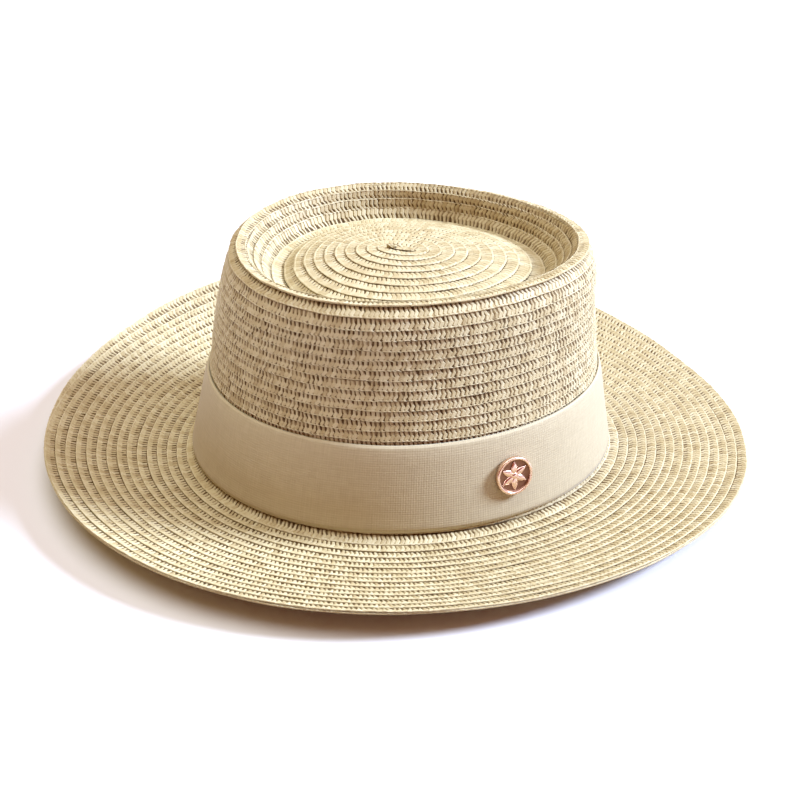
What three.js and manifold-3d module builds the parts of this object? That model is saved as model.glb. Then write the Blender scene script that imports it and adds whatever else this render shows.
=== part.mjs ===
// Straw porkpie hat. Millimetres, +Z up, the wearer's face towards +X.
// The origin is on the table, under the middle of the hat. The hat lies as it lies by itself,
// on the flat ring round its head opening, with the front of its brim just touching the table.
import * as THREE from 'three';
import { mergeVertices } from 'three/addons/utils/BufferGeometryUtils.js';
import Module from 'manifold-3d';

// ---- sizes ----
const GAP = 0.3; // clearance between pieces that touch
const STRAW = 2.0; // thickness of the sewn braid
const RIBBON = 1.0; // thickness of the woven band
const SIDES = 64; // facets round the head

// Outside of the crown's wall, one row for each level, from the foot to the shoulder.
// shift moves the oval towards the front, and egg makes its back wider than its front.
const WALL = [
  { height: 7.4, shift: 0.1, halfLength: 100.4, halfWidth: 85.3, egg: 0.02 },
  { height: 27.0, shift: 1.1, halfLength: 96.6, halfWidth: 81.8, egg: 0.03 },
  { height: 47.5, shift: 2.3, halfLength: 92.7, halfWidth: 78.0, egg: 0.04 },
  { height: 76.0, shift: 3.8, halfLength: 89.2, halfWidth: 74.0, egg: 0.08 },
];
const CREST = { height: 109.3, shift: 6.6, halfLength: 78.8, halfWidth: 65.6, egg: 0.13 };
const CREST_ROLL = 5.0; // radius of the rolled edge round the top
const CREST_ROLL_ANGLES = [10, 40, 65, 90, 115, 140]; // 0 faces outwards, 90 faces up
const CREST_LEAN = { front: -0.8, left: -0.9 }; // rise of the crest towards the front and the left
// Sunken top: its wall, from the rolled edge down to the floor.
const DISH = [
  { height: 102.0, shift: 6.8, halfLength: 69.4, halfWidth: 59.2, egg: 0.12 },
  { height: 97.0, shift: 7.0, halfLength: 64.6, halfWidth: 56.8, egg: 0.11 },
  { height: 95.4, shift: 7.0, halfLength: 61.6, halfWidth: 54.0, egg: 0.10 },
];
const TIP = { height: 104.8, shift: 7.5, halfLength: 12.0, halfWidth: 0.0, egg: 0.0 };
const FLOOR_SHARES = [0.85, 0.66, 0.45, 0.25]; // rings of the domed floor, from the dish's wall inwards
const FLOOR_POWER = 2.2; // how late the dome falls away

// Brim: distances outwards from the foot line, which is the lower edge of the band.
const FOOT_LINE = { shift: 0.0, halfLength: 102.2, halfWidth: 87.0, egg: 0.02 };
const BRIM_REACH = { mean: 67.4, front: -1.7 };
const BRIM_EDGE = { mean: 15.2, front: -7.3, left: 4.3, ends: -6.1, slant: -2.8, threeLobe: -2.0 };
const BRIM_LOWEST_EDGE = STRAW + 0.05;
const BRIM_FLAT_FROM = 3.0;
const BRIM_FLAT_TO = 9.0;
const BRIM_CURL_POWER = 1.5; // how late the brim curls up
const BRIM_CURL_SHARES = [0.14, 0.3, 0.48, 0.66, 0.83, 1.0];
// Bend from the crown's wall into the brim, for the upper and the lower face of the straw.
const BEND_TOP = [
  { out: -1.8, height: 7.1 },
  { out: -1.4, height: 5.6 },
  { out: -0.3, height: 4.3 },
  { out: 1.6, height: 3.1 },
  { out: 4.6, height: 2.3 },
  { out: BRIM_FLAT_TO, height: STRAW },
];
const BEND_UNDER = [
  { out: -3.8, height: 7.1 },
  { out: -3.1, height: 4.0 },
  { out: -1.4, height: 1.7 },
  { out: 0.8, height: 0.5 },
  { out: BRIM_FLAT_FROM, height: 0.0 },
  { out: BRIM_FLAT_TO, height: 0.0 },
];

// Band: a ribbon round the crown whose outer end laps over its inner end on the left side.
const BAND_FROM = 5.3;
const BAND_TO = 47.3;
const BAND_LEVELS = 3;
const BAND_SEAM_STEP = 18; // facet at which the inner end starts
const BAND_LAP_STEPS = 3; // facets covered twice
const BAND_LIFT_STEPS = 2; // facets over which the outer end climbs onto the lap

// Badge: a round metal badge with a six-petalled rosette, pinned through the band.
const BADGE_ANGLE = -57.6; // place round the oval, in degrees
const BADGE_HEIGHT = 25.7;
const BADGE_RADIUS = 9.0;
const BADGE_THICKNESS = 2.4;
const BADGE_FLOOR = 1.2; // thickness of the plate inside the rim
const BADGE_RIM = 1.3; // width of the raised rim
const BADGE_CORNER = 0.3;
const BADGE_SIDES = 36;
const POST_RADIUS = 0.8;
const POST_HOLE_SIDES = 16;
const PETALS = 6;
const PETAL_REACH = 7.0;
const PETAL_WIDEST = 0.55; // share of the reach at which a petal is widest
const PETAL_SWELL = 2.1;
const ROSETTE_HUB = 1.9;
const ROSETTE_THICKNESS = 0.7;

const wasm = await Module();
wasm.setup();

// ---- finishes ----
const strawBraid = new THREE.MeshStandardMaterial({ color: '#ddd0ab', roughness: 0.75, metalness: 0 });
const wovenRibbon = new THREE.MeshStandardMaterial({ color: '#e6dac3', roughness: 0.8, metalness: 0 });
const roseGold = new THREE.MeshStandardMaterial({ color: '#d8a080', roughness: 0.25, metalness: 1 });
const darkRecess = new THREE.MeshStandardMaterial({ color: '#6b4433', roughness: 0.4, metalness: 1 });

function finished(material, name) {
  const own = material.clone();
  own.name = name;
  return own;
}

// ---- ovals ----
const STEPS = Array.from({ length: SIDES }, (_, step) => step);

function angleOf(step) {
  return (step * 2 * Math.PI) / SIDES;
}

function mix(low, high, share) {
  return low + (high - low) * share;
}

function mixOvals(low, high, share) {
  const result = {};
  for (const key of Object.keys(low)) result[key] = mix(low[key], high[key], share);
  return result;
}

function grown(oval, offset) {
  return { ...oval, halfLength: oval.halfLength + offset, halfWidth: oval.halfWidth + offset };
}

function ovalPoint(oval, angle) {
  const x = oval.shift + oval.halfLength * Math.cos(angle);
  const y = oval.halfWidth * Math.sin(angle) * (1 - oval.egg * Math.cos(angle));
  return new THREE.Vector2(x, y);
}

function ovalNormal(oval, angle) {
  const small = 0.001;
  const along = ovalPoint(oval, angle + small).sub(ovalPoint(oval, angle - small));
  return new THREE.Vector2(along.y, -along.x).normalize();
}

// ---- closed solids from rings of points ----
// Each ring has the same number of points, or one point where the solid closes in a pole.
function loft(rings, closed) {
  const positions = [];
  const starts = [];
  for (const ring of rings) {
    starts.push(positions.length / 3);
    for (const point of ring) positions.push(point.x, point.y, point.z);
  }
  const triangles = [];
  const bands = closed ? rings.length : rings.length - 1;
  for (let band = 0; band < bands; band += 1) {
    const low = band;
    const high = (band + 1) % rings.length;
    joinRings(triangles, starts[low], rings[low].length, starts[high], rings[high].length);
  }
  const geometry = new THREE.BufferGeometry();
  geometry.setAttribute('position', new THREE.Float32BufferAttribute(positions, 3));
  geometry.setIndex(triangles);
  geometry.computeVertexNormals();
  return geometry;
}

function joinRings(triangles, low, lowCount, high, highCount) {
  const count = Math.max(lowCount, highCount);
  for (let step = 0; step < count; step += 1) {
    const next = (step + 1) % count;
    const a = low + (lowCount > 1 ? step : 0);
    const b = low + (lowCount > 1 ? next : 0);
    const c = high + (highCount > 1 ? next : 0);
    const d = high + (highCount > 1 ? step : 0);
    if (lowCount > 1) triangles.push(a, b, c);
    if (highCount > 1) triangles.push(a, c, d);
  }
}

// ---- crown ----
function crownPoint(oval, angle) {
  const flat = ovalPoint(oval, angle);
  const lean = CREST_LEAN.front * Math.cos(angle) + CREST_LEAN.left * Math.sin(angle);
  const climbed = (oval.height - WALL[0].height) / (CREST.height - WALL[0].height);
  return new THREE.Vector3(flat.x, flat.y, oval.height + lean * climbed);
}

// Ovals from the foot, over the rolled crest, down the dish and up its domed floor.
function crownOvals() {
  const roll = CREST_ROLL_ANGLES.map((degrees) => {
    const turn = THREE.MathUtils.degToRad(degrees);
    const oval = grown(CREST, CREST_ROLL * Math.cos(turn));
    return { ...oval, height: CREST.height - CREST_ROLL * (1 - Math.sin(turn)) };
  });
  const edge = DISH[DISH.length - 1];
  const floor = FLOOR_SHARES.map((share) => {
    const oval = mixOvals(TIP, edge, share);
    return { ...oval, height: mix(TIP.height, edge.height, share ** FLOOR_POWER) };
  });
  return [...WALL, ...roll, ...DISH, ...floor];
}

// The inner face lies one thickness of straw behind the outer one.
function ringBehind(rings, index) {
  const before = rings[Math.max(index - 1, 0)];
  const after = rings[Math.min(index + 1, rings.length - 1)];
  return STEPS.map((step) => {
    const last = (step + SIDES - 1) % SIDES;
    const next = (step + 1) % SIDES;
    const round = rings[index][next].clone().sub(rings[index][last]);
    const up = after[step].clone().sub(before[step]);
    const normal = round.cross(up).normalize();
    const point = rings[index][step].clone().addScaledVector(normal, -STRAW);
    if (index === 0) point.z = rings[index][step].z;
    return point;
  });
}

function crownGeometry() {
  const outer = crownOvals().map((oval) => STEPS.map((step) => crownPoint(oval, angleOf(step))));
  const tip = new THREE.Vector3(TIP.shift, 0, TIP.height);
  const inner = outer.map((_, index) => ringBehind(outer, index)).reverse();
  const tipBehind = tip.clone().setZ(TIP.height - STRAW);
  return loft([[tipBehind], ...inner, ...outer, [tip]], false);
}

// ---- brim ----
function brimEdgeHeight(angle) {
  const { mean, front, left, ends, slant, threeLobe } = BRIM_EDGE;
  const wave = mean + front * Math.cos(angle) + left * Math.sin(angle) + ends * Math.cos(2 * angle)
    + slant * Math.sin(2 * angle) + threeLobe * Math.sin(3 * angle);
  const above = wave - BRIM_LOWEST_EDGE;
  return BRIM_LOWEST_EDGE + (above + Math.hypot(above, 1)) / 2;
}

function brimPoint(out, height, angle) {
  const flat = ovalPoint(FOOT_LINE, angle).addScaledVector(ovalNormal(FOOT_LINE, angle), out);
  return new THREE.Vector3(flat.x, flat.y, height);
}

function brimCurlPoint(share, angle, drop) {
  const reach = BRIM_REACH.mean + BRIM_REACH.front * Math.cos(angle);
  const out = mix(BRIM_FLAT_TO, reach, share);
  const rise = (brimEdgeHeight(angle) - STRAW) * share ** BRIM_CURL_POWER;
  return brimPoint(out, STRAW + rise - drop, angle);
}

function brimRing(pointAt) {
  return STEPS.map((step) => pointAt(angleOf(step)));
}

function brimGeometry() {
  const bendTop = BEND_TOP.map((row) => brimRing((angle) => brimPoint(row.out, row.height, angle)));
  const bendUnder = BEND_UNDER.map((row) => brimRing((angle) => brimPoint(row.out, row.height, angle)));
  const curlTop = BRIM_CURL_SHARES.map((share) => brimRing((angle) => brimCurlPoint(share, angle, 0)));
  const curlUnder = BRIM_CURL_SHARES.map((share) => brimRing((angle) => brimCurlPoint(share, angle, STRAW)));
  return loft([...bendUnder, ...curlUnder, ...curlTop.reverse(), ...bendTop.reverse()], true);
}

// ---- band ----
// The wall's oval at a height, worked out from the rows on each side of it.
function wallOval(height) {
  const above = WALL.findIndex((row) => row.height > height);
  const high = Math.max(above, 1);
  const low = high - 1;
  const share = (height - WALL[low].height) / (WALL[high].height - WALL[low].height);
  return mixOvals(WALL[low], WALL[high], share);
}

function bandPoint(height, step, offset) {
  const oval = wallOval(height);
  const angle = angleOf(step % SIDES);
  const flat = ovalPoint(oval, angle).addScaledVector(ovalNormal(oval, angle), offset);
  return new THREE.Vector3(flat.x, flat.y, height);
}

// One slice through the ribbon: up its inner face and down its outer face.
function bandSlice(index) {
  const lapStart = SIDES - BAND_LIFT_STEPS;
  const climbed = THREE.MathUtils.clamp((index - lapStart) / BAND_LIFT_STEPS, 0, 1);
  const inside = GAP + climbed * (RIBBON + GAP);
  const step = BAND_SEAM_STEP + index;
  const heights = Array.from({ length: BAND_LEVELS }, (_, level) =>
    mix(BAND_FROM, BAND_TO, level / (BAND_LEVELS - 1)));
  const innerFace = heights.map((height) => bandPoint(height, step, inside));
  const outerFace = heights.map((height) => bandPoint(height, step, inside + RIBBON));
  return [...innerFace, ...outerFace.reverse()];
}

function middleOf(points) {
  const middle = new THREE.Vector3();
  for (const point of points) middle.add(point);
  return middle.divideScalar(points.length);
}

function bandGeometry() {
  const slices = Array.from({ length: SIDES + BAND_LAP_STEPS + 1 }, (_, index) => bandSlice(index));
  const firstEnd = middleOf(slices[0]);
  const lastEnd = middleOf(slices[slices.length - 1]);
  return loft([[firstEnd], ...slices, [lastEnd]], false);
}

// ---- booleans ----
function toManifold(geometry) {
  const bare = geometry.clone();
  bare.deleteAttribute('normal');
  bare.deleteAttribute('uv');
  const merged = mergeVertices(bare);
  const vertProperties = new Float32Array(merged.attributes.position.array);
  const triVerts = new Uint32Array(merged.index.array);
  return new wasm.Manifold(new wasm.Mesh({ numProp: 3, vertProperties, triVerts }));
}

function fromManifold(solid) {
  const mesh = solid.getMesh();
  const geometry = new THREE.BufferGeometry();
  geometry.setAttribute('position', new THREE.BufferAttribute(mesh.vertProperties, 3));
  geometry.setIndex(new THREE.BufferAttribute(mesh.triVerts, 1));
  geometry.computeVertexNormals();
  return geometry;
}

// ---- badge ----
// Its place: the badge's back lies on the band, and its axis is the band's outward normal.
function badgePlace() {
  const angle = THREE.MathUtils.degToRad(BADGE_ANGLE);
  const pointAt = (height, offset) => {
    const oval = wallOval(height);
    const flat = ovalPoint(oval, angle).addScaledVector(ovalNormal(oval, angle), offset);
    return new THREE.Vector3(flat.x, flat.y, height);
  };
  const surface = GAP + RIBBON;
  const centre = pointAt(BADGE_HEIGHT, surface);
  const up = pointAt(BADGE_HEIGHT + 1, surface).sub(centre).normalize();
  const level = ovalNormal(wallOval(BADGE_HEIGHT), angle);
  const outwards = new THREE.Vector3(level.x, level.y, 0);
  const sideways = up.clone().cross(outwards).normalize();
  const axis = sideways.clone().cross(up).normalize();
  const frame = new THREE.Matrix4().makeBasis(sideways, up, axis);
  frame.setPosition(centre.addScaledVector(axis, GAP));
  return frame;
}

// The badge's turned shape, with its axis along +Z and its back at z = 0.
function badgeBodyGeometry() {
  const innerRim = BADGE_RADIUS - BADGE_RIM;
  const postEnd = -(GAP + RIBBON);
  const profile = [
    new THREE.Vector2(0, postEnd),
    new THREE.Vector2(POST_RADIUS, postEnd),
    new THREE.Vector2(POST_RADIUS, 0),
    new THREE.Vector2(BADGE_RADIUS, 0),
    new THREE.Vector2(BADGE_RADIUS, BADGE_THICKNESS - BADGE_CORNER),
    new THREE.Vector2(BADGE_RADIUS - BADGE_CORNER, BADGE_THICKNESS),
    new THREE.Vector2(innerRim + BADGE_CORNER, BADGE_THICKNESS),
    new THREE.Vector2(innerRim, BADGE_THICKNESS - BADGE_CORNER),
    new THREE.Vector2(innerRim, BADGE_FLOOR),
    new THREE.Vector2(0, BADGE_FLOOR),
  ];
  return new THREE.LatheGeometry(profile, BADGE_SIDES).rotateX(Math.PI / 2);
}

// Six pointed petals that meet in a small hub.
function rosetteGeometry() {
  const outline = new THREE.Shape();
  const hubAlong = ROSETTE_HUB * Math.cos(Math.PI / PETALS);
  const hubAcross = ROSETTE_HUB * Math.sin(Math.PI / PETALS);
  for (let petal = 0; petal < PETALS; petal += 1) {
    const middle = (petal * 2 * Math.PI) / PETALS + Math.PI / 2;
    const hub = new THREE.Vector2();
    const at = (along, across) => new THREE.Vector2(along, across).rotateAround(hub, middle);
    const start = at(hubAlong, -hubAcross);
    const swellRight = at(PETAL_REACH * PETAL_WIDEST, -PETAL_SWELL);
    const swellLeft = at(PETAL_REACH * PETAL_WIDEST, PETAL_SWELL);
    const point = at(PETAL_REACH, 0);
    const end = at(hubAlong, hubAcross);
    if (petal === 0) outline.moveTo(start.x, start.y);
    outline.quadraticCurveTo(swellRight.x, swellRight.y, point.x, point.y);
    outline.quadraticCurveTo(swellLeft.x, swellLeft.y, end.x, end.y);
  }
  const settings = { depth: ROSETTE_THICKNESS, bevelEnabled: false, curveSegments: 5 };
  return new THREE.ExtrudeGeometry(outline, settings).translate(0, 0, BADGE_FLOOR + GAP);
}

function bandHole(place) {
  const length = 2 * (RIBBON + GAP);
  const radius = POST_RADIUS + GAP;
  const hole = new THREE.CylinderGeometry(radius, radius, length, POST_HOLE_SIDES);
  return hole.rotateX(Math.PI / 2).translate(0, 0, -length / 2).applyMatrix4(place);
}

// ---- the hat ----
// The brim reaches further at the back, so the whole hat moves forward to centre it on the origin.
const hat = new THREE.Group();
hat.position.x = -BRIM_REACH.front;

function add(name, geometry, material, finish) {
  const mesh = new THREE.Mesh(geometry, finished(material, finish));
  mesh.name = name;
  hat.add(mesh);
  return mesh;
}

const place = badgePlace();
const piercedBand = toManifold(bandGeometry()).subtract(toManifold(bandHole(place)));

add('crown', crownGeometry(), strawBraid, 'straw braid');
add('brim', brimGeometry(), strawBraid, 'straw braid');
add('hat_band', fromManifold(piercedBand), wovenRibbon, 'woven ribbon');

const badge = new THREE.Group();
badge.applyMatrix4(place);
const badgeBody = new THREE.Mesh(badgeBodyGeometry(), finished(darkRecess, 'dark recess'));
badgeBody.name = 'badge_body';
const badgeRosette = new THREE.Mesh(rosetteGeometry(), finished(roseGold, 'rose gold'));
badgeRosette.name = 'badge_rosette';
badge.add(badgeBody, badgeRosette);
hat.add(badge);

export default hat;
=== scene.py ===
"""Straw porkpie hat: the looks of its sewn braid, ribbon band and round badge.

Sizes are in millimetres, and the hat's main ones are those of the part's source. Meshes are in metres.
The wearer's face is towards +X, and angles turn from there towards the hat's left.
"""

import math

import bpy
import numpy as np
from mathutils import Matrix, Vector


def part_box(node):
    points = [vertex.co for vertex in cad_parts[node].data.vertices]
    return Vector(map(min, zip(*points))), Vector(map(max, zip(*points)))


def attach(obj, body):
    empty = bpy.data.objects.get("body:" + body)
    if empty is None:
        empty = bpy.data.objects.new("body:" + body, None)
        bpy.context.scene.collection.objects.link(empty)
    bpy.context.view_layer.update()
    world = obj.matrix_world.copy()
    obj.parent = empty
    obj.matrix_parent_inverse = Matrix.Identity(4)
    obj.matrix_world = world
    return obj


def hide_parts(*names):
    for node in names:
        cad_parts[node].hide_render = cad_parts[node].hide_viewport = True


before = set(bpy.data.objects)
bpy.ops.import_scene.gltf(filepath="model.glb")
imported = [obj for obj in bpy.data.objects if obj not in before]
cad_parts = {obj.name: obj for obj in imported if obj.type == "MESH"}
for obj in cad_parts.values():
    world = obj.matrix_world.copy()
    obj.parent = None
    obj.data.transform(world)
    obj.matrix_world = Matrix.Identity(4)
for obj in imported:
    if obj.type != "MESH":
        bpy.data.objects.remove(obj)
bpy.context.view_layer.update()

MM = 0.001
TURN = 2 * math.pi

# ---- sizes of the hat, in millimetres ----
# Each oval is a row: height, forward shift, half length, half width, egg. Egg makes its back wider.
WALL = (
    (7.4, 0.1, 100.4, 85.3, 0.02),
    (27.0, 1.1, 96.6, 81.8, 0.03),
    (47.5, 2.3, 92.7, 78.0, 0.04),
    (76.0, 3.8, 89.2, 74.0, 0.08),
)
CREST = (109.3, 6.6, 78.8, 65.6, 0.13)
CREST_ROLL = 5.0
CREST_ROLL_ANGLES = (140, 115, 90, 65, 40, 10)  # degrees: 0 faces outwards, 90 faces up
LEAN_FRONT = -0.8
LEAN_LEFT = -0.9
DISH = (
    (95.4, 7.0, 61.6, 54.0, 0.10),
    (97.0, 7.0, 64.6, 56.8, 0.11),
    (102.0, 6.8, 69.4, 59.2, 0.12),
)
TIP = (104.8, 7.5, 12.0, 0.0, 0.0)
FLOOR_SHARES = (0.25, 0.45, 0.66, 0.85)
FLOOR_POWER = 2.2  # how late the dome falls away

FOOT_LINE = (0.0, 0.0, 102.2, 87.0, 0.02)
BRIM_REACH = 67.4
BRIM_REACH_FRONT = -1.7
EDGE_HEIGHT = 15.2
EDGE_LOWEST = 2.05
EDGE_WAVES = (  # height, times round the brim, and 0 for a cosine or 1 for a sine
    (-7.3, 1, 0),
    (4.3, 1, 1),
    (-6.1, 2, 0),
    (-2.8, 2, 1),
    (-2.0, 3, 1),
)
BEND_OUT = (-1.8, -1.4, -0.3, 1.6, 4.6, 9.0)
BEND_HEIGHT = (7.1, 5.6, 4.3, 3.1, 2.3, 2.0)
BRIM_FLAT_TO = 9.0
CURL_POWER = 1.5  # how late the brim curls up
INSIDE_LEAN = 0.3  # how far the braid inside the crown's wall leans in, for its climb

BAND_FROM = 5.3
BAND_TO = 47.3
RIBBON_WIDTH = BAND_TO - BAND_FROM
BADGE_ANGLE = math.radians(-57.6)
BADGE_HEIGHT = 25.7
GAP = 0.3
RIBBON = 1.0

# The CAD crown's box says how far forward the whole hat sits.
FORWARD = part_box("crown")[1].x / MM - (WALL[0][1] + WALL[0][2])

# ---- sewn rows ----
# Distance down the crown's skin from the tip, and the braid row that has been reached there.
CROWN_ROW_AT = (
    (0.0, 0.0),
    (51.6, 10.556),
    (76.2, 15.556),
    (81.8, 16.556),
    (87.4, 17.556),
    (139.5, 28.556),
    (180.2, 37.15),
)
CROWN_PHASE = 0.806  # the spiral starts this part of a turn back from the front
FOLD_ROW = 11.5  # the row in the corner round the sunken floor
RIM_ROW = 16.06  # the row on the crest
DISH_TURNS = 10.7  # turns on the sunken floor
CROWN_TURNS = 36.1
CROWN_TURNS_SHOWN = 29.0  # the band hides the turns after these
BRIM_ROWS = 15
BRIM_INNER_ROWS = 8.0
BRIM_TAIL_ANGLE = math.radians(-166)
ROW_PITCH = 4.8
STITCH_SPACING = 2.1

# The braid's spiral starts from a shorter fold than the skin's, set back from its middle.
SPIRAL_START = (0.9, 3.0, 0.0, 0.0)  # forward shift, half length, half width, egg
SPIRAL_FIRST_TURN = -0.76


# ---- node helpers ----
class Nodes:
    """Adds nodes to one tree: a type, its settings, then its sockets' values or links."""

    def __init__(self, tree):
        self.tree = tree

    def add(self, kind, settings=None, inputs=None):
        node = self.tree.nodes.new(kind)
        for name, value in (settings or {}).items():
            if name == "stops":
                self.set_stops(node.color_ramp, value)
            else:
                setattr(node, name, value)
        for key, value in (inputs or {}).items():
            self.feed(node.inputs[key], value)
        return node

    def feed(self, socket, value):
        source = value.socket if isinstance(value, Value) else value
        if isinstance(source, bpy.types.NodeSocket):
            self.tree.links.new(source, socket)
        else:
            socket.default_value = source

    @staticmethod
    def set_stops(ramp, stops):
        while len(ramp.elements) > len(stops):
            ramp.elements.remove(ramp.elements[-1])
        while len(ramp.elements) < len(stops):
            ramp.elements.new(1.0)
        for element, (place, colour) in zip(ramp.elements, stops):
            element.position = place
            element.color = (*colour, 1.0)

    def value(self, kind, settings=None, inputs=None, output=0):
        return Value(self, self.add(kind, settings, inputs).outputs[output])

    def math(self, operation, *terms):
        settings = {"operation": operation}
        return self.value("ShaderNodeMath", settings, dict(enumerate(terms)))

    def attribute(self, name):
        return self.value("ShaderNodeAttribute", {"attribute_name": name}, output="Fac")

    def noise(self, place, scale, detail=2.0, roughness=0.5):
        inputs = {"Vector": place, "Scale": scale, "Detail": detail, "Roughness": roughness}
        return self.value("ShaderNodeTexNoise", None, inputs)

    def smooth_step(self, term, low, high):
        settings = {"interpolation_type": "SMOOTHSTEP"}
        inputs = {"Value": term, "From Min": low, "From Max": high}
        return self.value("ShaderNodeMapRange", settings, inputs)

    def mix_colours(self, share, first, second, blend="MIX"):
        settings = {"data_type": "RGBA", "blend_type": blend}
        inputs = {0: share, 6: first, 7: second}
        return self.value("ShaderNodeMix", settings, inputs, output=2)

    def bump(self, height, depth):
        inputs = {"Height": height, "Distance": depth, "Strength": 1.0}
        return self.value("ShaderNodeBump", None, inputs)


def operator(operation, reflected=False):
    """A method that adds the Math node of one of Python's operators."""

    def add_node(self, other):
        terms = (other, self) if reflected else (self, other)
        return self.nodes.math(operation, *terms)

    return add_node


class Value:
    """A socket that can be used in sums. Each sum adds its Math node."""

    def __init__(self, nodes, socket):
        self.nodes = nodes
        self.socket = socket

    __add__ = operator("ADD")
    __radd__ = operator("ADD", reflected=True)
    __sub__ = operator("SUBTRACT")
    __rsub__ = operator("SUBTRACT", reflected=True)
    __mul__ = operator("MULTIPLY")
    __rmul__ = operator("MULTIPLY", reflected=True)
    __truediv__ = operator("DIVIDE")
    __rtruediv__ = operator("DIVIDE", reflected=True)
    __gt__ = operator("GREATER_THAN")

    def fraction(self):
        return self.nodes.math("FRACT", self)

    def size(self):
        return self.nodes.math("ABSOLUTE", self)


def rgb(red, green, blue):
    return (red, green, blue, 1.0)


def new_material(name):
    """A material, its Principled shader, and what adds nodes to its tree."""
    material = bpy.data.materials.new(name)
    material.use_nodes = True
    shader = next(n for n in material.node_tree.nodes if n.type == "BSDF_PRINCIPLED")
    return material, shader, Nodes(material.node_tree)


# ---- finishes ----
STRAW_TONES = (
    (0.0, (0.345, 0.255, 0.118)),
    (0.35, (0.465, 0.376, 0.203)),
    (0.7, (0.515, 0.433, 0.252)),
    (1.0, (0.565, 0.488, 0.303)),
)
RIBBON_TONES = ((0.1, (0.352, 0.286, 0.170)), (0.95, (0.500, 0.424, 0.262)))
# Painted shade for the strands where they tuck under the next row.
TUCKED_SHADE = rgb(0.34, 0.25, 0.15)
# Painted shade for the braid's flat between the strands: slight where the braid lies close, deep where it is
# open.
CLOSE_GAP_SHADE = rgb(0.93, 0.89, 0.83)
OPEN_GAP_SHADE = rgb(0.20, 0.135, 0.07)
STRAND_SLANT = 0.2
SEAM_ACROSS = 1.75  # where the thread runs along the underside
SEAM_STITCH = 2.6
RIB_SPACING = 1.16
THREAD_SPACING = 1.12


def object_place(nodes):
    return nodes.value("ShaderNodeTexCoord", output="Object")


def straw_tone(nodes, shade):
    """Paper straw, pale cream to honey: it varies in soft clouds, in fine flecks and strand by strand."""
    place = object_place(nodes)
    cloudy = nodes.noise(place, 34.0, 3.0)
    fine = nodes.noise(place, 420.0, 2.0)
    tone = shade * 0.5 + cloudy * 0.16 + fine * 0.43 - 0.07
    return nodes.value("ShaderNodeValToRGB", {"stops": STRAW_TONES}, {"Fac": tone}), fine


def plaited_straw():
    """The raised strands of the braid: painted highlight along the row's lip, painted shade where they tuck
    under the next row.
    """
    material, shader, nodes = new_material("plaited_straw")
    across = nodes.attribute("across")
    # Painted highlight: the strands are made paler along the row's lip, where its raised edge catches the
    # light.
    lip = nodes.smooth_step(across, 1.5, 2.1)
    tone, fine = straw_tone(nodes, nodes.attribute("shade") * 1.3 - 0.13 + lip * 0.5)
    # Painted shade: the strands are darkened where they tuck under the next row.
    tucked = nodes.smooth_step(across, -1.8, -2.4)
    dark = nodes.mix_colours(1.0, tone, TUCKED_SHADE, "MULTIPLY")
    nodes.feed(shader.inputs["Base Color"], nodes.mix_colours(tucked, tone, dark))
    nodes.feed(shader.inputs["Roughness"], 0.46 + fine * 0.2)
    fibres = nodes.noise(object_place(nodes), 2600.0, 3.0, 0.6)
    nodes.feed(shader.inputs["Normal"], nodes.bump(fibres, 0.00012))
    shader.inputs["Specular IOR Level"].default_value = 0.42
    return material


def braid_bed():
    """The flat of the braid: painted shade in the gaps between the strands above, and a sewn plait on its
    underside.
    """
    material, shader, nodes = new_material("braid_bed")
    along = nodes.attribute("along")
    across = nodes.attribute("across")
    under = nodes.attribute("under")
    tone, fine = straw_tone(nodes, 0.35)
    lean = (across > 0.0) * 2.0 - 1.0
    phase = (along / STITCH_SPACING + across * lean * STRAND_SLANT).fraction()
    strand = nodes.smooth_step(1.0 - (phase * 2.0 - 1.0).size(), 0.12, 0.55)
    stitch_line = 1.0 - nodes.smooth_step((across - SEAM_ACROSS).size(), 0.12, 0.3)
    stitch = stitch_line * nodes.smooth_step((along / SEAM_STITCH).fraction(), 0.25, 0.35)
    relief = nodes.math("MAXIMUM", strand, stitch)
    # Painted shade between the strands: deeper where the braid is open and in the row's inner part under the
    # next lip, and patchy.
    close_gap_shade = nodes.mix_colours(1.0, tone, CLOSE_GAP_SHADE, "MULTIPLY")
    open_gap_shade = nodes.mix_colours(1.0, tone, OPEN_GAP_SHADE, "MULTIPLY")
    groove = nodes.smooth_step(across, 1.6, -0.4)
    uneven = nodes.smooth_step(nodes.noise(object_place(nodes), 260.0, 2.0), 0.36, 0.56)
    gap_shade_share = nodes.math("MAXIMUM", nodes.attribute("open"), groove) * (uneven * 0.55 + 0.45)
    gap = nodes.mix_colours(gap_shade_share, close_gap_shade, open_gap_shade)
    # On the underside, painted shade between the sewn plait's strands.
    shown = nodes.mix_colours(relief * 0.85 + 0.15, close_gap_shade, tone)
    nodes.feed(shader.inputs["Base Color"], nodes.mix_colours(under, gap, shown))
    nodes.feed(shader.inputs["Roughness"], 0.6 + fine * 0.2)
    nodes.feed(shader.inputs["Normal"], nodes.bump(relief * under, 0.0004))
    shader.inputs["Specular IOR Level"].default_value = 0.3
    return material


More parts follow.
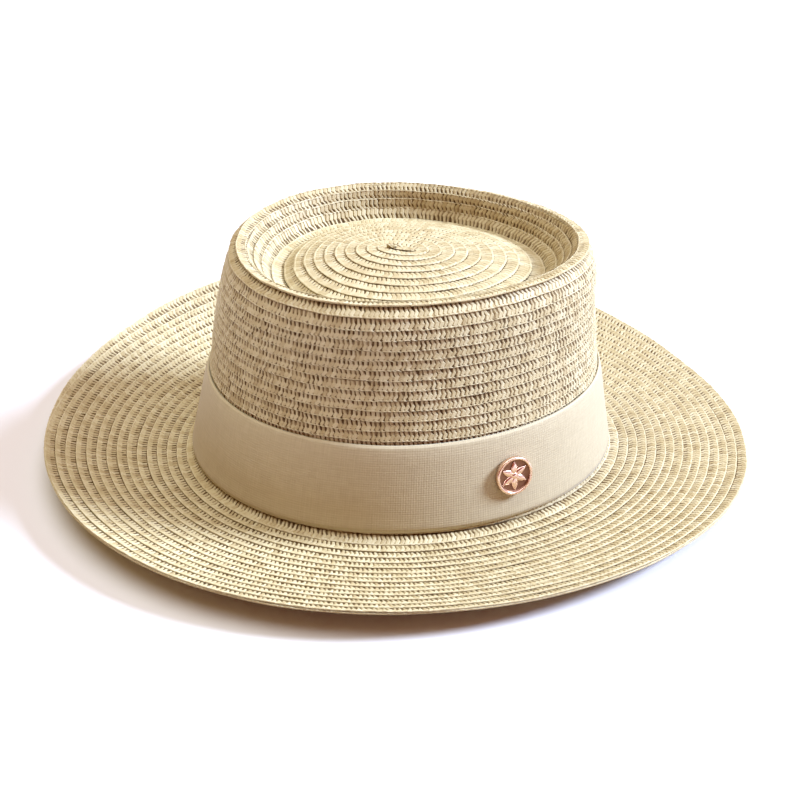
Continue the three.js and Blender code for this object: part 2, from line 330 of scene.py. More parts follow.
def woven_ribbon():
    """Ivory ribbon in a plain weave, with threads of uneven thickness both ways."""
    material, shader, nodes = new_material("woven_ribbon")
    uv = nodes.value("ShaderNodeUVMap", {"uv_map": "cloth"})
    parts = nodes.add("ShaderNodeSeparateXYZ", None, {"Vector": uv})
    along, up = Value(nodes, parts.outputs[0]), Value(nodes, parts.outputs[1])
    rib = ((along / RIB_SPACING).fraction() * 2.0 - 1.0).size()
    thread = ((up / THREAD_SPACING).fraction() * 2.0 - 1.0).size()
    upright = nodes.value("ShaderNodeCombineXYZ", None, {"X": along * 1.1, "Y": up * 0.09})
    level = nodes.value("ShaderNodeCombineXYZ", None, {"X": along * 0.09, "Y": up * 1.1})
    uneven = nodes.noise(upright, 1.0, 2.0) + nodes.noise(level, 1.0, 2.0)
    place = object_place(nodes)
    slub = nodes.noise(place, 900.0, 2.0)
    cloudy = nodes.noise(place, 22.0, 2.0)
    weave = rib * 0.32 + thread * 0.5 + slub * 0.5
    half = RIBBON_WIDTH / 2
    selvage = nodes.smooth_step((up - half).size(), half - 1.1, half - 0.6)
    tone = weave * 0.22 + uneven * 0.5 + cloudy * 0.2 + selvage * 0.4 - 0.2
    colour = nodes.value("ShaderNodeValToRGB", {"stops": RIBBON_TONES}, {"Fac": tone})
    nodes.feed(shader.inputs["Base Color"], colour)
    nodes.feed(shader.inputs["Roughness"], 0.66 + slub * 0.2)
    relief = (weave + uneven * 0.5 + selvage * 0.6) * -1.0  # the paler threads lie lower
    nodes.feed(shader.inputs["Normal"], nodes.bump(relief, 0.00009))
    shader.inputs["Sheen Weight"].default_value = 0.15
    shader.inputs["Sheen Roughness"].default_value = 0.5
    return material


def rose_gold(name, light, dark, rough, worn):
    """Plated metal with soft clouding and fine rubbed scratches."""
    material, shader, nodes = new_material(name)
    place = object_place(nodes)
    clouds = nodes.noise(place, 160.0, 3.0)
    rubbed = nodes.noise(place, 1500.0, 4.0, 0.7)
    colour = nodes.mix_colours(clouds, rgb(*dark), rgb(*light))
    nodes.feed(shader.inputs["Base Color"], colour)
    nodes.feed(shader.inputs["Roughness"], rough + rubbed * worn)
    nodes.feed(shader.inputs["Normal"], nodes.bump(rubbed, 0.00003))
    shader.inputs["Metallic"].default_value = 1.0
    return material


def table_top():
    """A plain pale table, very faintly clouded."""
    material, shader, nodes = new_material("table_top")
    faint = nodes.noise(object_place(nodes), 3.0, 2.0)
    colour = nodes.mix_colours(faint, rgb(0.69, 0.66, 0.64), rgb(0.71, 0.68, 0.66))
    nodes.feed(shader.inputs["Base Color"], colour)
    shader.inputs["Roughness"].default_value = 0.7
    shader.inputs["Specular IOR Level"].default_value = 0.2
    return material


# ---- the hat's surfaces, as functions of row and angle ----
def part_way(value, low, high):
    """0 up to low, 1 from high on, and straight in between."""
    return np.clip((value - low) / (high - low), 0, 1)


def eased(value, low, high):
    """The same, with a soft start and end."""
    share = part_way(value, low, high)
    return share * share * (3 - 2 * share)


def waves(rows, angle):
    """Sum of sines, from rows of size, times round the hat, and phase."""
    return sum(size * np.sin(angle * times + phase) for size, times, phase in rows)


def unit(vectors):
    return vectors / np.maximum(np.linalg.norm(vectors, axis=-1, keepdims=True), 1e-9)


def crown_rings():
    """The skin's ovals from the tip, over the crest and down to the foot."""
    tip, edge = np.array(TIP), np.array(DISH[0])
    rings = [tip]
    for share in FLOOR_SHARES:
        ring = tip + (edge - tip) * share
        ring[0] = tip[0] + (edge[0] - tip[0]) * share**FLOOR_POWER
        rings.append(ring)
    rings += DISH
    for degrees in CREST_ROLL_ANGLES:
        turn = math.radians(degrees)
        out = CREST_ROLL * math.cos(turn)
        drop = CREST_ROLL * (1 - math.sin(turn))
        rings.append(np.array(CREST) + (-drop, 0, out, out, 0))
    return np.array([*rings, *WALL[::-1]])


def crown_ring_points(ring, angle):
    """Points round one ring, or one point on each of many. The crest leans, and the foot stays level."""
    height, shift, long, wide, egg = np.moveaxis(ring, -1, 0)
    climbed = (height - WALL[0][0]) / (CREST[0] - WALL[0][0])
    lean = (LEAN_FRONT * np.cos(angle) + LEAN_LEFT * np.sin(angle)) * climbed
    x = FORWARD + shift + long * np.cos(angle)
    y = wide * np.sin(angle) * (1 - egg * np.cos(angle))
    return np.stack([x, y, height + lean], -1)


def smooth_curve(place, knots, rows):
    """Cubic curve through rows of numbers, with its slopes from the rows on each side."""
    gaps = np.diff(knots)[:, None]
    slopes = np.diff(rows, axis=0) / gaps
    middle = (slopes[:-1] * gaps[1:] + slopes[1:] * gaps[:-1]) / (gaps[1:] + gaps[:-1])
    tangents = np.vstack([slopes[:1], middle, slopes[-1:]])
    index = np.clip(np.searchsorted(knots, place, side="right") - 1, 0, len(gaps) - 1)
    gap = gaps[index]
    t = (place[..., None] - knots[index][..., None]) / gap
    start = (2 * t**3 - 3 * t**2 + 1) * rows[index] + (t**3 - 2 * t**2 + t) * gap * tangents[index]
    end = (3 * t**2 - 2 * t**3) * rows[index + 1] + (t**3 - t**2) * gap * tangents[index + 1]
    return start + end


def ring_places(rings):
    """How far down the skin each ring lies from the tip, as a mean round the hat."""
    angles = np.linspace(0, TURN, 64, endpoint=False)
    points = [crown_ring_points(ring, angles) for ring in rings]
    steps = np.linalg.norm(np.diff(points, axis=0), axis=2).mean(1)
    return np.concatenate([[0.0], np.cumsum(steps)])


def braid_rings(rings):
    """The same rings for the braid, whose spiral starts from its own fold."""
    rings = rings.copy()
    for count, share in enumerate((0.0,) + FLOOR_SHARES):
        rings[count, 1:] += (1 - share) * (np.array(SPIRAL_START) - TIP[1:])
    return rings


RING_PLACES = ring_places(crown_rings())
BRAID_RINGS = braid_rings(crown_rings())


def crown_skin(row, angle):
    """Row 0 is the fold at the tip, and the last row is at the wall's foot."""
    distances, rows = zip(*CROWN_ROW_AT)
    place = np.interp(row, rows, distances)
    return crown_ring_points(smooth_curve(place, RING_PLACES, BRAID_RINGS), angle)


def oval_point(oval, angle, out):
    """A point on an oval, moved outwards along its normal. The oval's numbers may be arrays."""
    _, shift, long, wide, egg = np.moveaxis(np.asarray(oval), -1, 0)
    cos, sin = np.cos(angle), np.sin(angle)
    x, y = shift + long * cos, wide * sin * (1 - egg * cos)
    along_x, along_y = -long * sin, wide * (cos - egg * np.cos(2 * angle))
    size = np.hypot(along_x, along_y)
    return FORWARD + x + out * along_y / size, y - out * along_x / size


def edge_height(angle):
    """Height of the brim's edge. It eases onto its lowest height and never goes below it."""
    above = EDGE_HEIGHT - EDGE_LOWEST
    for height, times, sine in EDGE_WAVES:
        above = above + height * (np.sin if sine else np.cos)(times * angle)
    return EDGE_LOWEST + (above + np.hypot(above, 1)) / 2


def brim_skin(row, angle):
    """Row 0 is against the crown, the last row ends at the edge, and rows before 0 climb inside the wall."""
    reach = BRIM_REACH + BRIM_REACH_FRONT * np.cos(angle)
    out = BEND_OUT[0] + (reach - BEND_OUT[0]) * np.maximum(row, 0) / BRIM_ROWS
    climb = np.maximum(-row, 0) * ROW_PITCH
    share = np.clip((out - BRIM_FLAT_TO) / (reach - BRIM_FLAT_TO), 0, None)
    curl = BEND_HEIGHT[-1] + (edge_height(angle) - BEND_HEIGHT[-1]) * share**CURL_POWER
    height = np.where(out < BRIM_FLAT_TO, np.interp(out, BEND_OUT, BEND_HEIGHT), curl) + climb
    x, y = oval_point(FOOT_LINE, angle, out - INSIDE_LEAN * climb)
    return np.stack([x, y, height], -1)


# ---- meshes ----
def new_object(name, mesh):
    piece = bpy.data.objects.new(name, mesh)
    bpy.context.scene.collection.objects.link(piece)
    return piece


def mesh_of(name, points, edges=(), faces=()):
    mesh = bpy.data.meshes.new(name)
    mesh.from_pydata([tuple(p) for p in points], list(edges), list(faces))
    mesh.update()
    return mesh


def joined(shapes):
    """Points and faces of several shapes as one."""
    points, faces = [], []
    for shape_points, shape_faces in shapes:
        base = len(points)
        points += shape_points
        faces += [tuple(base + corner for corner in face) for face in shape_faces]
    return points, faces


def add_attribute(mesh, name, kind, values):
    attribute = mesh.attributes.new(name, kind, "POINT")
    key = "vector" if kind == "FLOAT_VECTOR" else "value"
    attribute.data.foreach_set(key, np.asarray(values, np.float32).ravel())


# ---- braid paths ----
SLOPE_STEP = 0.04  # in rows
NARROWEST, WIDEST = 0.9, 1.35  # a row's width against the pitch
STEEP_OPENS = 1.6
LAST_CLOSE_ROW = 1.5
FIRST_OPEN_ROW = 3.0

WANDER_FREE_ROW = 6.0  # rows before this one wander less
SIDEWAYS_WAVES = ((1.0, 13.7, 0.0), (0.6, 23.9, 1.7), (1.0, 5.3, 0.4))
LIFT_WAVES = ((1.0, 18.7, 2.0), (1.0, 8.3, 0.9))
SIDEWAYS = 0.10
LIFT = 0.06

RIM_INWARDS = 0.65
RIM_DROP = 0.23
RIM_TILT = 0.32
RIM_HALF_ROWS = 0.5

CORNER_EXTRA = 0.44
CORNER_SHARPNESS = 0.8

# About how the crown's spiral grows, which spaces its points evenly.
SPIRAL_MIDDLE = 4.0
SPIRAL_GROWTH = 4.95
ROWS_TO_CREST = 14.0
FEWEST_STEPS = 20  # points in a turn, however small

BRIM_RADIUS = 128.0
TAIL_FROM = 0.86  # each level row steps out over the last part of its turn
SPIRAL_ROWS = 5
LEVEL_ROWS = 12
INSIDE_PITCH = 0.65  # rows that climb inside the crown's wall lie closer
EDGE_ROW = BRIM_ROWS - 0.51
EDGE_TURNS = 1.04
EDGE_POINTS = 380
EDGE_UNDER = 0.95


def openness(row, facing):
    """Braid that is stretched over a steep wall opens up, and lies close where the hat is level; this sets
    its painted gap shade.
    """
    steep = 1 - np.abs(facing[:, 2])
    return np.clip(steep * STEEP_OPENS, 0, 1) * part_way(row, LAST_CLOSE_ROW, FIRST_OPEN_ROW)


def over_the_rim(row, points, facing, outward):
    """The row on the crest lies flatter than the skin. It turns about its lip, which stays in place."""
    share = np.exp(-(((row - RIM_ROW) / RIM_HALF_ROWS) ** 4))[:, None]
    inwards = unit(facing * (1.0, 1.0, 0.0)) * RIM_INWARDS
    points = points - share * (inwards + np.array((0.0, 0.0, RIM_DROP)))
    facing = unit(facing + share * np.array((0.0, 0.0, RIM_TILT)))
    outward = unit(outward - facing * (outward * facing).sum(-1, keepdims=True))
    return points, facing, outward, share[:, 0]


def hand_sewn(row, angle, points, facing, outward):
    """Rows sewn by hand wander a little, sideways and up and down."""
    free = part_way(row, 0, WANDER_FREE_ROW)
    sideways = waves(SIDEWAYS_WAVES, angle) * SIDEWAYS * free
    lift = waves(LIFT_WAVES, angle) * LIFT * free
    return points + (outward.T * sideways + facing.T * lift).T


def row_scale(skin, row, angle):
    """The row's width against the pitch. Rows in the crown's corner are widened, so that they still meet."""
    width = np.linalg.norm(skin(row + 0.5, angle) - skin(row - 0.5, angle), axis=1)
    scale = np.clip(width / ROW_PITCH, NARROWEST, WIDEST)
    if skin is crown_skin:
        scale = scale * (1 + CORNER_EXTRA * np.exp(-CORNER_SHARPNESS * (row - FOLD_ROW) ** 2))
    return scale


def braid_path(name, skin, row, angle, lowered=0.0):
    """The middle line of one run of braid on a surface, with the surface's axes at each point."""
    points = skin(row, angle)
    outward = unit(skin(row + SLOPE_STEP, angle) - skin(row - SLOPE_STEP, angle))
    along = unit(np.gradient(points, axis=0))
    facing = unit(np.cross(outward, along))
    gap_shade_share = openness(row, facing)
    if skin is crown_skin:
        points, facing, outward, turned = over_the_rim(row, points, facing, outward)
        gap_shade_share = gap_shade_share * (1 - turned)
    points = hand_sewn(row, angle, points, facing, outward) - facing * lowered
    steps = np.linalg.norm(np.diff(points, axis=0), axis=1)
    run = np.concatenate([[0.0], np.cumsum(steps)])
    mesh = mesh_of(name, points * MM, [(i, i + 1) for i in range(len(points) - 1)])
    add_attribute(mesh, "facing", "FLOAT_VECTOR", facing)
    add_attribute(mesh, "outward", "FLOAT_VECTOR", outward)
    # This share sets how deep the painted shade between the strands is.
    add_attribute(mesh, "open", "FLOAT", gap_shade_share)
    add_attribute(mesh, "along", "FLOAT", run)
    add_attribute(mesh, "row_width", "FLOAT", row_scale(skin, row, angle))
    return new_object(name, mesh)


def crown_turns(first, last, step):
    """Turns of the crown's spiral, spaced so that its points are about one step apart."""
    turns = [first]
    while turns[-1] < last:
        rows_out = min(max(turns[-1] + 0.5, 0.0), ROWS_TO_CREST)
        radius = SPIRAL_MIDDLE + SPIRAL_GROWTH * rows_out
        turns.append(turns[-1] + min(step / (TURN * radius), 1 / FEWEST_STEPS))
    return np.array(turns)


def crown_braid_path(name, first, last, step):
    """A spiral from the tip outwards, in which each turn moves on by one row."""
    turns = crown_turns(first, last, step)
    return braid_path(name, crown_skin, np.maximum(turns + 0.5, 0.0), TURN * (turns - CROWN_PHASE))


def brim_braid_path(name, first, last, step):
    """Nearly a spiral by the crown. By the edge its rows run level, and each steps out at the tail."""
    turns = np.arange(first, last, step / (TURN * BRIM_RADIUS))
    ring, share = np.divmod(turns, 1.0)
    tucked = eased(share, TAIL_FROM, 1.0)
    level = part_way(ring, SPIRAL_ROWS, LEVEL_ROWS)
    shift = np.where(ring == BRIM_ROWS - 1, 0.0, share + (tucked - share) * level)
    row = ring + shift + 0.5
    row = np.where(row < 0.5, 0.5 + (row - 0.5) * INSIDE_PITCH, row)
    return braid_path(name, brim_skin, row, BRIM_TAIL_ANGLE + TURN * turns)


def brim_edge_path(name):
    """A second layer of braid, sewn under the brim's last row to stiffen its edge."""
    turns = np.linspace(0, EDGE_TURNS, EDGE_POINTS)
    row = np.full_like(turns, EDGE_ROW)
    return braid_path(name, brim_skin, row, BRIM_TAIL_ANGLE + TURN * turns, lowered=EDGE_UNDER)


# ---- Geometry Nodes ----
def new_tree(name, sizes):
    """A tree with a geometry input and output, and named inputs for its sizes."""
    tree = bpy.data.node_groups.new(name, "GeometryNodeTree")
    face = tree.interface
    face.new_socket("Path", in_out="INPUT", socket_type="NodeSocketGeometry")
    for label, kind in sizes.items():
        face.new_socket(label, in_out="INPUT", socket_type="NodeSocket" + kind)
    face.new_socket("Piece", in_out="OUTPUT", socket_type="NodeSocketGeometry")
    nodes = Nodes(tree)
    start = nodes.add("NodeGroupInput")
    return tree, nodes, start.outputs


def named(nodes, name, kind="FLOAT_VECTOR"):
    return nodes.value("GeometryNodeInputNamedAttribute", {"data_type": kind}, {"Name": name})


def curve_of(nodes, mesh):
    return nodes.value("GeometryNodeMeshToCurve", None, {"Mesh": mesh})


def shape_of(nodes, helper):
    return nodes.value("GeometryNodeObjectInfo", None, {"Object": helper}, output="Geometry")


def finish_tree(nodes, geometry, material, smooth):
    """Makes one mesh of what a tree has laid out, and sets its shading and its material."""
    whole = nodes.value("GeometryNodeRealizeInstances", None, {"Geometry": geometry})
    inputs = {"Geometry": whole, "Shade Smooth": smooth}
    shaded = nodes.value("GeometryNodeSetShadeSmooth", None, inputs)
    inputs = {"Geometry": shaded, "Material": material}
    done = nodes.value("GeometryNodeSetMaterial", None, inputs)
    nodes.add("NodeGroupOutput", None, {0: done})


def sewn_braid_tree():
    """Sweeps the braid's section along its path, square to the surface."""
    sizes = {"Section": "Object", "Straw": "Material"}
    tree, nodes, start = new_tree("sewn_braid", sizes)
    inputs = {"Curve": curve_of(nodes, start["Path"]), "Normal": named(nodes, "facing")}
    line = nodes.value("GeometryNodeSetCurveNormal", {"mode": "FREE"}, inputs)
    inputs = {
        "Curve": line,
        "Profile Curve": curve_of(nodes, shape_of(nodes, start["Section"])),
        "Scale": named(nodes, "row_width", "FLOAT"),
        "Fill Caps": True,
    }
    swept = nodes.value("GeometryNodeCurveToMesh", None, inputs)
    finish_tree(nodes, swept, start["Straw"], smooth=True)
    return tree


SHADE_SEED = 7
TILT_SHARE = 0.2  # a stitch tilts by this share of its turn


def plait_tree():
    """Lays one plaited stitch after another along a path."""
    sizes = {
        "Stitch": "Object",
        "Spacing": "Float",
        "Turn Spread": "Float",
        "Size Spread": "Float",
        "Seed": "Int",
        "Straw": "Material",
    }
    tree, nodes, start = new_tree("plait", sizes)
    inputs = {"Curve": curve_of(nodes, start["Path"]), "Length": start["Spacing"]}
    spaced = nodes.value("GeometryNodeResampleCurve", {"mode": "LENGTH"}, inputs)

    settings = {"primary_axis": "Z", "secondary_axis": "Y"}
    inputs = {"Primary Axis": named(nodes, "facing"), "Secondary Axis": named(nodes, "outward")}
    laid = nodes.value("FunctionNodeAxesToRotation", settings, inputs)
    spread = Value(nodes, start["Turn Spread"])
    inputs = {"Min": (0, 0, 0), "Max": (1, 1, 1), "Seed": start["Seed"]}
    dice = nodes.value("FunctionNodeRandomValue", {"data_type": "FLOAT_VECTOR"}, inputs)
    thrown = nodes.add("ShaderNodeSeparateXYZ", None, {"Vector": dice}).outputs
    angle = (Value(nodes, thrown[0]) - 0.5) * spread
    tilt = (Value(nodes, thrown[1]) - 0.5) * spread * TILT_SHARE
    turns = nodes.value("ShaderNodeCombineXYZ", None, {"X": tilt, "Z": angle})
    nudge = nodes.value("FunctionNodeEulerToRotation", None, {"Euler": turns})
    inputs = {"Rotation": laid, "Rotate By": nudge}
    rotation = nodes.value("FunctionNodeRotateRotation", {"rotation_space": "LOCAL"}, inputs)
    size = 1.0 + (Value(nodes, thrown[2]) - 0.5) * Value(nodes, start["Size Spread"])
    width = named(nodes, "row_width", "FLOAT")
    scale = nodes.value("ShaderNodeCombineXYZ", None, {"X": size, "Y": width, "Z": width})

    stitch = shape_of(nodes, start["Stitch"])
    inputs = {"Points": spaced, "Instance": stitch, "Rotation": rotation, "Scale": scale}
    placed = nodes.value("GeometryNodeInstanceOnPoints", None, inputs)
    inputs = {2: 0.0, 3: 1.0, "Seed": SHADE_SEED}
    shade = nodes.value("FunctionNodeRandomValue", {"data_type": "FLOAT"}, inputs, output=1)
    settings = {"data_type": "FLOAT", "domain": "INSTANCE"}
    inputs = {"Geometry": placed, "Name": "shade", "Value": shade}
    shaded = nodes.value("GeometryNodeStoreNamedAttribute", settings, inputs)
    finish_tree(nodes, shaded, start["Straw"], smooth=False)
    return tree


TABLE_CLEARANCE = 0.02


def keep_above_table(mesh):
    """Straw that would sink into the table is pressed flat on it."""
    places = np.zeros(len(mesh.vertices) * 3, np.float32)
    mesh.vertices.foreach_get("co", places)
    places[2::3] = np.maximum(places[2::3], TABLE_CLEARANCE * MM)
    mesh.vertices.foreach_set("co", places)


def grown_from(path, tree, name, values):
    """Runs a tree on a path and keeps its result as a plain mesh in place of the path."""
    modifier = path.modifiers.new(tree.name, "NODES")
    modifier.node_group = tree
    for item in tree.interface.items_tree:
        if item.name in values:
            modifier[item.identifier] = values[item.name]
    bpy.context.view_layer.update()
    evaluated = path.evaluated_get(bpy.context.evaluated_depsgraph_get())
    mesh = bpy.data.meshes.new_from_object(evaluated)
    mesh.name = name
    path.modifiers.remove(modifier)
    bpy.data.objects.remove(path)
    keep_above_table(mesh)
    return new_object(name, mesh)


# ---- braid pieces ----
# The braid's section: outwards along the surface, then its height over the skin. On the steep wall its
# top is deep, for the strands to stand out of, and elsewhere it is flat.
TOPS = (  # outwards, height of the deep top, height of the flat top
    (-3.00, -1.16, -1.10),
    (-2.60, -1.42, -1.18),
    (-2.20, -1.40, -1.16),
    (-1.85, -1.22, -1.06),
    (-0.40, -0.92, -0.86),
    (1.00, -0.68, -0.70),
    (2.05, -0.50, -0.60),
    (2.42, -0.52, -0.64),
    (2.52, -0.80, -0.84),
)
UNDERSIDE = ((2.36, -1.12), (1.00, -1.40), (-1.20, -1.80), (-2.70, -2.20), (-3.10, -1.90))
DEEP_TOP = tuple((out, deep) for out, deep, _ in TOPS)
FLAT_TOP = tuple((out, flat) for out, _, flat in TOPS)


def section_object(name, top):
    """A closed outline. A sweep takes its section's X as the way the surface faces, and its Y as outwards."""
    rows = top + UNDERSIDE
    count = len(rows)
    points = [(height * MM, out * MM, 0) for out, height in rows]
    mesh = mesh_of(name, points, [(i, (i + 1) % count) for i in range(count)])
    add_attribute(mesh, "across", "FLOAT", [out for out, _ in rows])
    add_attribute(mesh, "under", "FLOAT", [i >= len(top) for i in range(count)])
    return new_object(name, mesh)


REED_SECTION = ((0.5, -0.4), (0.3, 0.5), (-0.3, 0.5), (-0.5, -0.4))
REED_END = 0.13  # the share of a strand that each point takes


def reed(start, end, width, height, rings):
    """A short flat-topped strand with two pointed ends. Sizes are in millimetres."""
    start, end = np.array(start, float), np.array(end, float)
    axis = unit(end - start)
    side = unit(np.cross((0, 0, 1), axis))
    top = np.cross(axis, side)
    points = [start]
    for ring in range(rings):
        share = 0.5 if rings == 1 else REED_END + (1 - 2 * REED_END) * ring / (rings - 1)
        centre = start + (end - start) * share
        for across, up in REED_SECTION:
            points.append(centre + side * across * width + top * up * height)
    points.append(end)
    last = len(points) - 1
    sides = len(REED_SECTION)
    faces = []
    for turn in range(sides):
        after = (turn + 1) % sides
        faces.append((0, 1 + after, 1 + turn))
        for low in range(1, last - sides, sides):
            faces.append((low + turn, low + after, low + sides + after, low + sides + turn))
        faces.append((last - sides + turn, last - sides + after, last))
    return points, faces


def stitch_object(name, strands):
    """One stitch of the plait: its strands, as one small mesh."""
    points, faces = joined(reed(*strand) for strand in strands)
    mesh = mesh_of(name, np.array(points) * MM, faces=faces)
    add_attribute(mesh, "across", "FLOAT", [point[1] for point in points])
    return new_object(name, mesh)


# A strand's start and end as x, y and height, then its width, its height and its rings.
# Y runs outwards across the row, and x runs clockwise along it.
# The open stitch is for the steep wall, and the other two are for the brim and the sunken floor.
OPEN_STITCH = (
    ((0.45, -2.55, -1.20), (-0.40, 0.60, -0.60), 1.30, 0.34, 2),
    ((-0.80, -0.55, -0.72), (0.65, 2.05, -0.44), 1.84, 0.30, 2),
    ((1.75, 1.98, -0.46), (-1.75, 2.28, -0.32), 0.84, 0.38, 1),
)
BRIM_STITCH = (
    ((0.45, -2.50, -1.02), (-0.45, 0.60, -0.64), 1.24, 0.26, 2),
    ((-0.75, -0.40, -0.76), (0.65, 2.12, -0.50), 1.70, 0.25, 2),
    ((1.90, 1.98, -0.54), (-1.90, 2.20, -0.46), 0.80, 0.22, 2),
)
DISH_STITCH = (
    ((0.50, -2.50, -1.02), (-0.50, 0.40, -0.66), 1.56, 0.22, 2),
    ((-0.70, -0.60, -0.76), (0.60, 2.15, -0.52), 1.98, 0.18, 2),
    ((1.90, 1.98, -0.54), (-1.90, 2.20, -0.46), 1.00, 0.20, 2),
)
# The strands of each stitch, and how much its copies differ in turn (radians) and in length.
STITCHES = {
    "open_stitch": (OPEN_STITCH, 0.42, 0.5),
    "brim_stitch": (BRIM_STITCH, 0.34, 0.4),
    "dish_stitch": (DISH_STITCH, 0.24, 0.3),
}
PLAIT_SEEDS = dict(dish_plait=2, wall_plait=3, inner_brim_plait=5, outer_brim_plait=6, edge_plait=8)
CROWN_STEP = 2.8
DISH_PLAIT_STEP = 2.4
BRIM_STEP = 3.0
BRIM_FIRST_TURN = -1.2
BRIM_PLAIT_FIRST_TURN = -0.95


def make_braids(bed, plait):
    """The crown's and the brim's braid, each as its flat and its raised strands."""
    sections = [section_object("deep_section", DEEP_TOP), section_object("flat_section", FLAT_TOP)]
    deep, flat = ({"Section": section, "Straw": bed} for section in sections)
    stitches = {}
    for name, (strands, turn_spread, size_spread) in STITCHES.items():
        stitches[name] = {
            "Stitch": stitch_object(name, strands),
            "Spacing": STITCH_SPACING * MM,
            "Turn Spread": turn_spread,
            "Size Spread": size_spread,
            "Straw": plait,
        }
    wall, brim, dish = stitches["open_stitch"], stitches["brim_stitch"], stitches["dish_stitch"]
    sweep, lay = sewn_braid_tree(), plait_tree()
    runs = (  # piece, how its path is made, first turn, last turn and step, the tree and its values
        ("dish_braid", crown_braid_path, (SPIRAL_FIRST_TURN, DISH_TURNS, CROWN_STEP), sweep, flat),
        ("crown_braid", crown_braid_path, (DISH_TURNS, CROWN_TURNS, CROWN_STEP), sweep, deep),
        ("dish_plait", crown_braid_path, (SPIRAL_FIRST_TURN, DISH_TURNS, DISH_PLAIT_STEP), lay, dish),
        ("wall_plait", crown_braid_path, (DISH_TURNS, CROWN_TURNS_SHOWN, CROWN_STEP), lay, wall),
        ("brim_braid", brim_braid_path, (BRIM_FIRST_TURN, BRIM_ROWS, BRIM_STEP), sweep, flat),
        ("inner_brim_plait", brim_braid_path, (BRIM_PLAIT_FIRST_TURN, BRIM_INNER_ROWS, BRIM_STEP), lay, brim),
        ("outer_brim_plait", brim_braid_path, (BRIM_INNER_ROWS, BRIM_ROWS, BRIM_STEP), lay, brim),
        ("brim_edge", brim_edge_path, (), sweep, flat),
        ("edge_plait", brim_edge_path, (), lay, brim),
    )
    pieces = {}
    for name, make_path, span, tree, values in runs:
        path = make_path(name + "_path", *span)
        pieces[name] = grown_from(path, tree, name, {**values, "Seed": PLAIT_SEEDS.get(name, 0)})
    for helper in (*sections, *(values["Stitch"] for values in stitches.values())):
        bpy.data.objects.remove(helper)
    return pieces


# ---- ribbon ----
def wall_oval(height):
    """The wall's oval at a height, or at an array of heights."""
    columns = list(zip(*WALL))
    return np.stack([np.interp(height, columns[0], column) for column in columns], -1)


RIBBON_THICK = 0.8
RIBBON_SEAM_ANGLE = 18 * TURN / 64
RIBBON_LAP = 3 * TURN / 64
RIBBON_LIFT = 2 * TURN / 64
RIBBON_COLUMNS = 420
RIBBON_ROWS = 22

# How the ribbon lies: it waves a little, and its top edge dips by the badge and is drawn in.
RIBBON_WAVES = ((0.10, 3, 0.6), (0.07, 7, 0.0))
TOP_EDGE_WAVE = 0.12
DIP = 1.2
DIP_ANGLE = -1.05
BOW = 0.10
DRAWN_IN = 0.85
DRAWN_IN_FROM = 0.84
TOP_SELVAGE = 0.16
TOP_SELVAGE_FROM = 0.9
FOOT_SELVAGE = 0.05
FOOT_SELVAGE_TO = 0.08


def ribbon_side(turn, up, depth):
    """One side of the ribbon: columns of points round the crown, each from its lower edge to its top."""
    angle, share = np.meshgrid(RIBBON_SEAM_ANGLE + turn, up, indexing="ij")
    height = BAND_FROM + RIBBON_WIDTH * share + TOP_EDGE_WAVE * np.sin(2 * angle + 1) * (share > 0.5)
    height = height - DIP * share * ((1 + np.cos(angle - DIP_ANGLE)) / 2) ** 2
    lap = eased(turn, TURN - RIBBON_LIFT, TURN)[:, None] * (RIBBON + GAP)
    wave = waves(RIBBON_WAVES, angle) * share
    selvage = TOP_SELVAGE * part_way(share, TOP_SELVAGE_FROM, 1.0) ** 2
    selvage = selvage + FOOT_SELVAGE * part_way(share, FOOT_SELVAGE_TO, 0.0) ** 2
    selvage = selvage * (1 + 0.5 * np.sin(angle * 2 + 2))
    inwards = BOW * np.sin(math.pi * share) + DRAWN_IN * part_way(share, DRAWN_IN_FROM, 1.0) ** 1.5
    out = GAP + lap + depth + wave + selvage - inwards
    x, y = oval_point(wall_oval(height), angle, out)
    return np.stack([x, y, height], -1)


def ribbon_faces(around):
    """Faces of the tube that the two sides form, with a flat cap at each end."""
    faces = []
    for column in range(RIBBON_COLUMNS - 1):
        for row in range(around):
            here, there = column * around + row, column * around + (row + 1) % around
            faces.append((here, here + around, there + around, there))
    last = (RIBBON_COLUMNS - 1) * around
    for row in range(RIBBON_ROWS - 1):
        cap = (row, row + 1, around - 2 - row, around - 1 - row)
        faces.append(cap)
        faces.append(tuple(last + corner for corner in (cap[0], cap[3], cap[2], cap[1])))
    return faces


def lay_cloth(mesh, flat):
    """Gives the mesh a UV map in millimetres of flat ribbon: along it, then up it."""
    layer = mesh.uv_layers.new(name="cloth")
    corners = np.zeros(len(mesh.loops), int)
    mesh.loops.foreach_get("vertex_index", corners)
    layer.data.foreach_set("uv", flat[corners].astype(np.float32).ravel())


def make_ribbon(material):
    """A thin woven strip laid round the crown's foot. It laps itself on the wearer's left."""
    turn = np.linspace(0, TURN + RIBBON_LAP, RIBBON_COLUMNS)
    up = np.linspace(0, 1, RIBBON_ROWS)
    outer = ribbon_side(turn, up, RIBBON)
    inner = ribbon_side(turn, up, RIBBON - RIBBON_THICK)
    loop = np.concatenate([outer, inner[:, ::-1]], 1)
    mesh = mesh_of("ribbon_band", loop.reshape(-1, 3) * MM, faces=ribbon_faces(loop.shape[1]))
    run = np.concatenate([[0], np.cumsum(np.linalg.norm(np.diff(outer[:, 0], axis=0), axis=1))])
    level = np.concatenate([up, up[::-1]]) * RIBBON_WIDTH
    lay_cloth(mesh, np.stack(np.meshgrid(run, level, indexing="ij"), -1).reshape(-1, 2))
    mesh.shade_smooth()
    mesh.materials.append(material)
    return new_object("ribbon_band", mesh), run[-1] * MM


